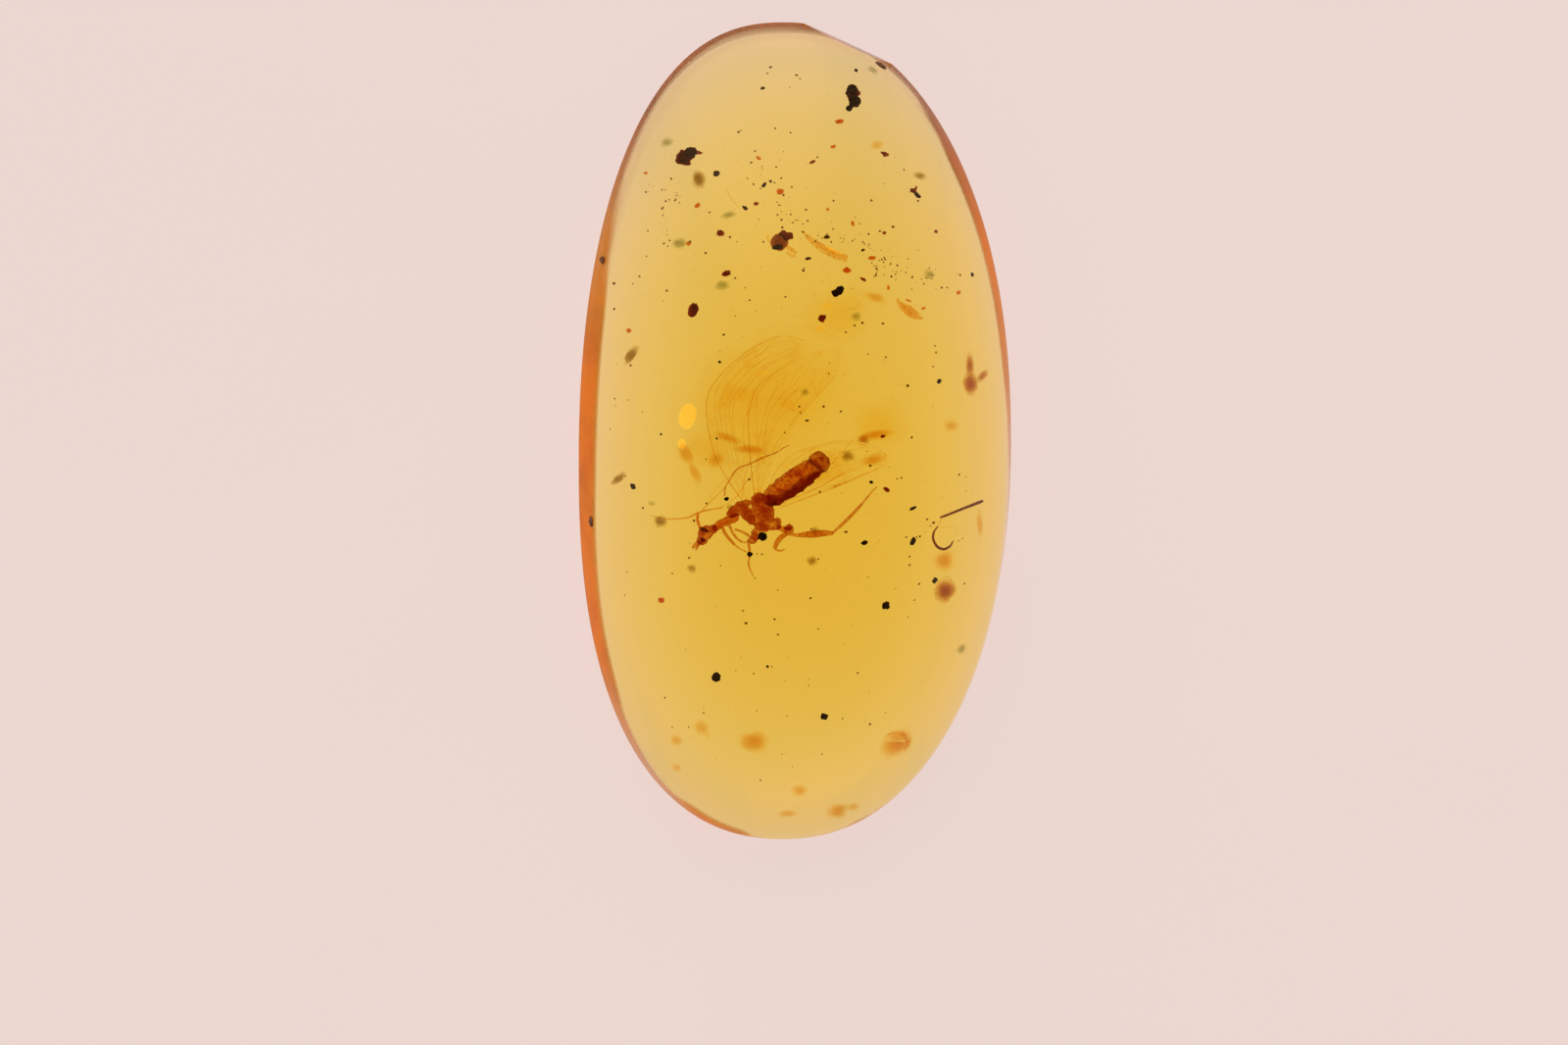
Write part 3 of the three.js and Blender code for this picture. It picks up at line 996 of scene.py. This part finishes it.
crumbs("orange_flecks", [
    (-0.49, 7.65, 0.22, 0.18), (-3.13, 7.24, 0.18, 0.14, 40), (-3.42, 6.04, 0.15, 0.13),
    (1.4, 9.86, 0.26, 0.15, 10), (1.83, 6.62, 0.1, 0.17, 10), (1.65, 5.14, 0.24, 0.18),
    (5.23, 4.39, 0.18, 0.12, 20), (-1.18, 8.72, 0.16, 0.1, -30), (-5.32, 3.3, 0.18, 0.14),
    (-4.3, -5.29, 0.22, 0.18), (1.03, 7.07, 0.1), (2.45, 5.52, 0.22, 0.12, 10), (-4.78, 8.28, 0.14, 0.09),
    (1.2, 9.06, 0.18, 0.1, 20), (3.63, 4.15, 0.2, 0.06, -15), (4.1, 3.9, 0.16, 0.08, 20),
    (2.97, 4.57, 0.08, 0.16),
], (0.4, 0.65), ORANGE_FLECK, 0.35)

crumbs("brown_specks", [
    (-1.82, 9.55, 0.1, 0.08), (-1.74, 9.6, 0.06, 0.05), (-0.8, 11.59, 0.12, 0.08, 20),
    (-0.9, 11.4, 0.08, 0.06), (0.03, 11.33, 0.12, 0.07, -20), (0.14, 11.22, 0.07, 0.06),
    (-2.87, 5.73, 0.09, 0.08), (-4.11, 4.55, 0.08), (0.25, 5.15, 0.1, 0.09), (1, 6.2, 0.21, 0.11),
    (0.4, 5.52, 0.2, 0.1, 10), (3.12, 6.5, 0.1, 0.09), (2.18, 5.78, 0.11, 0.08, -20),
    (2.14, 3.46, 0.09, 0.08), (2.8, 3.43, 0.1, 0.07), (3.6, 1.44, 0.1), (0.9, 0.81, 0.09),
    (0.37, 0.37, 0.14, 0.08), (2.4, -1.1, 0.1, 0.09), (4.44, -2.95, 0.1, 0.09, 20), (4.34, -3.05, 0.06),
    (4.23, -2.84, 0.08, 0.07), (3.67, -4.02, 0.07), (3.67, -4.29, 0.08, 0.07), (-1.24, -3.86, 0.06, 0.05),
    (-1.08, -3.87, 0.09, 0.05), (-1.59, -6.07, 0.11, 0.08), (-1.68, -5.67, 0.07, 0.06),
    (-0.56, -6.45, 0.08, 0.07), (-1.34, -7.69, 0.06), (2.43, 7.35, 0.08), (1.21, 7.35, 0.07),
    (-5.79, 4.8, 0.12, 0.1), (-5.79, 3.99, 0.1, 0.09), (-4.2, 6.05, 0.1, 0.06, 30),
    (-4.02, 6.14, 0.09, 0.06, -30), (-4.08, 5.96, 0.08, 0.05, 60), (3.4, -1.5, 0.07),
    (4.51, 2.49, 0.08, 0.07), (4.48, 2.7, 0.07, 0.06), (4.42, 2.04, 0.07, 0.06),
    (-1.49, -1.48, 0.08, 0.07), (3.98, -4.9, 0.1, 0.06, 40), (1.62, -3.2, 0.12, 0.08),
    (0.78, -1.9, 0.09, 0.08),
], (0.4, 0.6), GREY_DUST, 0.4, 2)

STREAMS = [
    [(0.2, 6.65), (1, 6.2), (1.81, 5.95), (2.7, 5.75), (3.36, 5.17), (4.2, 4.9), (5.17, 4.45)],
    [(-4.75, 7.76), (-4, 7.72), (-3.75, 7.5), (-4.2, 7.3), (-4.25, 6.7), (-4.2, 6.2)],
    [(2.45, 5.35), (2.56, 5.25), (2.6, 5.09), (2.52, 4.93)],
    [(4.18, -3.22), (4, -3.35), (3.9, -3.45)],
    [(-1.6, 8.7), (-1.2, 8.2), (-0.7, 7.4), (-0.4, 6.9), (0.1, 6.7)],
]


def make_fine_dust():
    """Fine dust, scattered all through, and thicker along the seams where the resin ran."""
    chance = random.Random(7)
    specks = []
    for _ in range(320):
        turn = chance.uniform(0, 2 * math.pi)
        out = 0.86 * math.sqrt(chance.random())
        specks.append((*edge_point(turn) * out, 0.03 + 0.07 * chance.random() ** 3))
    for stream, count, spread in zip(STREAMS, (130, 44, 20, 8, 60), (0.26, 0.08, 0.02, 0.02, 0.24)):
        for _ in range(count):
            place = along([(*point, 0) for point in stream], chance.random() * 0.999)
            specks.append((place.x + chance.gauss(0, spread), place.y + chance.gauss(0, spread),
                           0.02 + 0.08 * chance.random() ** 2))
    lumpy("fine_dust", [(inside(x, y, chance.uniform(0.3, 0.7)),
                         (size / 2, size * chance.uniform(0.3, 0.5), size / 2),
                         chance.uniform(0, 180), 0.3, 1)
                        for x, y, size in specks], GREY_DUST)


make_fine_dust()

clots("dark_clots", [
    (-3.09, 8.06, 0.3, 0.46, 20), (3.99, 8.11, 0.32, 0.2), (-4.33, -2.77, 0.32, 0.28),
    (1.68, -0.78, 0.28, 0.26), (0.53, -4.11, 0.24, 0.22), (-3.32, -4.29, 0.2),
    (-5.26, 2.52, 0.55, 0.26, 50), (-5.67, -1.4, 0.5, 0.2, 30), (0.62, -3.14, 0.22, 0.16),
    (-2.1, -2.36, 0.16, 0.14),
], (0.25, 0.35), BLURRED_CLOT)
clots("green_clots", [
    (-2.13, 6.93, 0.34, 0.18, 10), (4.29, 4.97, 0.28, 0.24), (1.94, 3.66, 0.22), (0.31, 1.28, 0.2, 0.18),
    (5.36, -7.01, 0.3, 0.26), (-3.7, 6.04, 0.34, 0.26), (-4.1, 9.24, 0.3, 0.22), (-2.34, 4.7, 0.3, 0.24),
    (-4.6, -2.2, 0.18, 0.14), (2.48, 11.48, 0.3, 0.16, -35),
], (0.15, 0.25), GREEN_CLOT)
clots("brown_clots", [
    (5.62, 1.47, 0.46, 0.56), (5.6, 2.05, 0.24, 0.62, -4), (6, 1.72, 0.5, 0.2, 32),
    (4.82, -5.14, 0.54, 0.56), (2.18, -0.28, 0.24, 0.26),
], (0.18, 0.3), BROWN_CLOT)
clots("orange_clots", [
    (-1.34, -9.87, 0.66, 0.56), (4.8, -4.17, 0.5), (5.93, -3, 0.2, 0.66, 10), (0.12, -11.46, 0.4, 0.34),
    (-0.25, -12.2, 0.46, 0.22), (5, 0.15, 0.4, 0.3), (-3.83, -9.78, 0.3), (-3.83, -10.65, 0.26, 0.24),
    (2.6, 9.1, 0.34, 0.24, 20), (3.28, -10.02, 0.8, 0.74), (1.37, -12.14, 0.55, 0.46),
    (1.87, -12.02, 0.3, 0.26), (-3.02, -9.38, 0.34, 0.4, -30), (-2.9, -9.55, 0.16, 0.3, 30),
    (3.3, -9.8, 0.6, 0.26, -12), (-2.55, -0.83, 0.34, 0.44), (2.58, 4.26, 0.5, 0.24, -20),
    (2.5, -0.9, 0.6, 0.3, 20), (-3.5, -0.66, 0.3, 0.56, 20), (-1.49, -0.52, 0.7, 0.26, -6),
    (-2.16, -0.15, 0.66, 0.22, -22), (2.56, -0.12, 0.78, 0.26, 12), (-3.22, -1.25, 0.2, 0.6, 22),
], (0.2, 0.35), ORANGE_CLOT)

# A round seed, darkest at its foot, with a thin husk flake beside it.
lumpy("seed", [(inside(-0.52, 6.06, 0.5), (0.26, 0.27, 0.22), 0, 0.12)], SEED)
crumbs("seed_foot", [(-0.57, 5.9, 0.34, 0.16, 4)], (0.55, 0.56), BLACK_CRUMB, 0.3)
strands("seed_husk", level(2.4, [
    [(-0.34, 5.96, 0.03), (-0.12, 5.8, 0.1), (0.04, 5.68, 0.02)],
    [(-0.3, 5.74, 0.02), (-0.16, 5.64, 0.05), (0, 5.6, 0.05)],
    [(-0.84, 6.3, 0.02), (-0.9, 6.2, 0.05), (-0.82, 6.05, 0.02)],
]), PLANT_FLAKE, 2, 8, 0.4)

strands("golden_sliver", [
    [(0.2, 6.4, 2.6, 0.02), (0.5, 6.12, 2.6, 0.08), (0.9, 5.86, 2.6, 0.1), (1.25, 5.68, 2.6, 0.11),
     (1.66, 5.52, 2.6, 0.08)],
    [(0.3, 6.2, 2.7, 0.012), (0.7, 5.84, 2.7, 0.03), (1.1, 5.6, 2.7, 0.03), (1.62, 5.42, 2.7, 0.035)],
], PLANT_FLAKE, 2, 8, 0.4)
# A painted golden glow along the sliver, in place of its highlight.
strands("sliver_gleam", level(2.8, [
    [(0.92, 5.92, 0.012), (1.18, 5.79, 0.05), (1.5, 5.64, 0.015)],
]), GLEAM, 2, 8, 0.5)
strands("leaf_scale", level(2.4, [
    [(3.24, 4.2, 0.03), (3.42, 3.98, 0.12), (3.62, 3.84, 0.18), (3.84, 3.68, 0.15),
     (4.08, 3.56, 0.01)],
]), PLANT_FLAKE, 3, 8, 0.35)
strands("curled_scale", level(1.5, [
    [(2.95, -9.72, 0.02), (3.24, -9.66, 0.07), (3.52, -9.78, 0.09), (3.62, -10, 0.08),
     (3.52, -10.22, 0.03)],
]), PLANT_FLAKE, 3, 8, 0.3)

# A broken fibre, its long end straight and its other end curled like a hook.
strands("bark_fibre", level(2.2, [
    [(4.65, -2.79, 0.036), (5, -2.66, 0.04), (5.5, -2.47, 0.044), (5.88, -2.33, 0.054),
     (6.04, -2.27, 0.04)],
    [(4.58, -3.06, 0.018), (4.44, -3.28, 0.038), (4.46, -3.56, 0.042), (4.7, -3.79, 0.046),
     (4.94, -3.73, 0.04), (5.08, -3.53, 0.016)],
]), FIBRE, 2, 10)
strands("fibre_hairs", [
    [(4.7, -2.84, 2.2, 0.012), (4.58, -3.02, 2.2, 0.014), (4.52, -3.15, 2.2, 0.01)],
    [(4.6, -3.12, 2.2, 0.01), (4.95, -3.08, 2.25, 0.012), (5.3, -3.22, 2.3, 0.006)],
    [(1.55, 3.77, 2.4, 0.008), (1.6, 3.9, 2.4, 0.01), (1.83, 3.91, 2.4, 0.012),
     (2.12, 4.05, 2.4, 0.006)],
    [(2.48, -3.65, 2.4, 0.008), (2.62, -3.55, 2.4, 0.01), (2.74, -3.47, 2.4, 0.006)],
    [(-2.22, 7.75, 2.4, 0.01), (-2.05, 7.45, 2.4, 0.014), (-1.85, 7.2, 2.4, 0.01)],
], PALE_CUTICLE, 1, 6)

# Flattened gas bubbles beside the wings, with a painted glow where they catch the light.
lumpy("gas_bubbles", [
    (beneath((-3.46, 0.56, 1.8)), (0.26, 0.4, 0.1), -8, 0.1),
    (beneath((-3.64, -0.31, 1.8)), (0.13, 0.16, 0.06), 10, 0.1),
], GLEAM)
# Fainter bubbles, with a weaker painted glow.
lumpy("faint_bubbles", [
    (beneath((1.03, 4, 1.8)), (0.16, 0.1, 0.06), 10, 0.2),
    (beneath((0.8, 3.3, 1.8)), (0.14, 0.1, 0.06), 10, 0.2),
    (beneath((-1.1, 1.9, 1.8)), (0.14, 0.05, 0.05), 10, 0.2),
], FAINT_GLEAM)

# Clouds in the resin, a little more orange than the rest, that thin away to nothing.
HAZES = {
    "haze_wings": (-1, 1.1, 2.7, 2, 1.3, 25),
    "haze_left": (-2.9, -0.5, 0.8, 0.7, 0.8, 0),
    "haze_right": (2.7, 0.2, 0.8, 0.8, 0.9, 0),
    "haze_upper": (1.4, 3.8, 1.1, 0.9, 0.9, 30),
}
for name, (x, y, length, width, depth, turn) in HAZES.items():
    bm = bmesh.new()
    soft_lump(bm, inside(x, y, 0.35), (length, width, depth), turn, 0.2)
    finish(name, bm, FLOW_HAZE)


# ---- floor and light

PALE = (0.838, 0.680, 0.638)
ROOM_LIGHT = 0.88
OVERHEAD_LIGHT = 0.05
WINDOW_LIGHT = 1.2
WINDOW_WAY = (-0.2, 1.0, 0.6)
FLOOR_REACH = 800
FLOOR_DROP = 0.03
# The pool of light under the stone: its half width and half length in millimetres, and its strength.
POOL = (7, 13)
POOL_GAIN = 1.06


def make_floor():
    """A plain pale floor, a little brighter where the stone gathers the light."""
    bm = bmesh.new()
    bmesh.ops.create_grid(bm, x_segments=1, y_segments=1, size=FLOOR_REACH)
    bmesh.ops.translate(bm, vec=(0, 0, -FLOOR_DROP), verts=bm.verts)
    material, tree, shader = new_material("pale_floor", Specular_IOR_Level=0, Emission_Strength=0.91)
    mottled(tree, shader, (0.22, 0.22, 0.22), (0.205, 0.205, 0.205), 30)
    place = (tree.nodes.new("ShaderNodeTexCoord"), "Object")
    share = node(tree, "ShaderNodeVectorMath", operation="MULTIPLY", Vector=place)
    share.inputs[1].default_value = (1 / (POOL[0] * MM), 1 / (POOL[1] * MM), 0)
    out = node(tree, "ShaderNodeVectorMath", operation="LENGTH", Vector=(share, "Vector"))
    glow = mixed(tree, ramp(tree, (out, "Value"), 0.8, 1), [POOL_GAIN * part for part in PALE], PALE)
    put(tree, shader.inputs["Emission Color"], glow)
    floor = new_object("floor", bm, material)


make_floor()


def light_the_room():
    """A pale room, dim overhead, with a broad window beyond the stone's head."""
    world = bpy.data.worlds.new("soft_room")
    world.use_nodes = True
    tree = world.node_tree
    way = (tree.nodes.new("ShaderNodeTexCoord"), "Generated")
    height = (node(tree, "ShaderNodeSeparateXYZ", Vector=way), "Z")
    overhead = ramp(tree, height, 0.2, 0.8, ROOM_LIGHT, OVERHEAD_LIGHT)
    facing = leaning(tree, way, Vector(WINDOW_WAY).normalized())
    window = ramp(tree, facing, 0.75, 0.99, 0, WINDOW_LIGHT, "SMOOTHERSTEP")
    background = tree.nodes["Background"]
    put(tree, background.inputs["Color"], PALE)
    put(tree, background.inputs["Strength"], worked_out(tree, "ADD", overhead, window))
    bpy.context.scene.world = world
    bpy.context.scene.view_settings.view_transform = "Standard"


light_the_room()
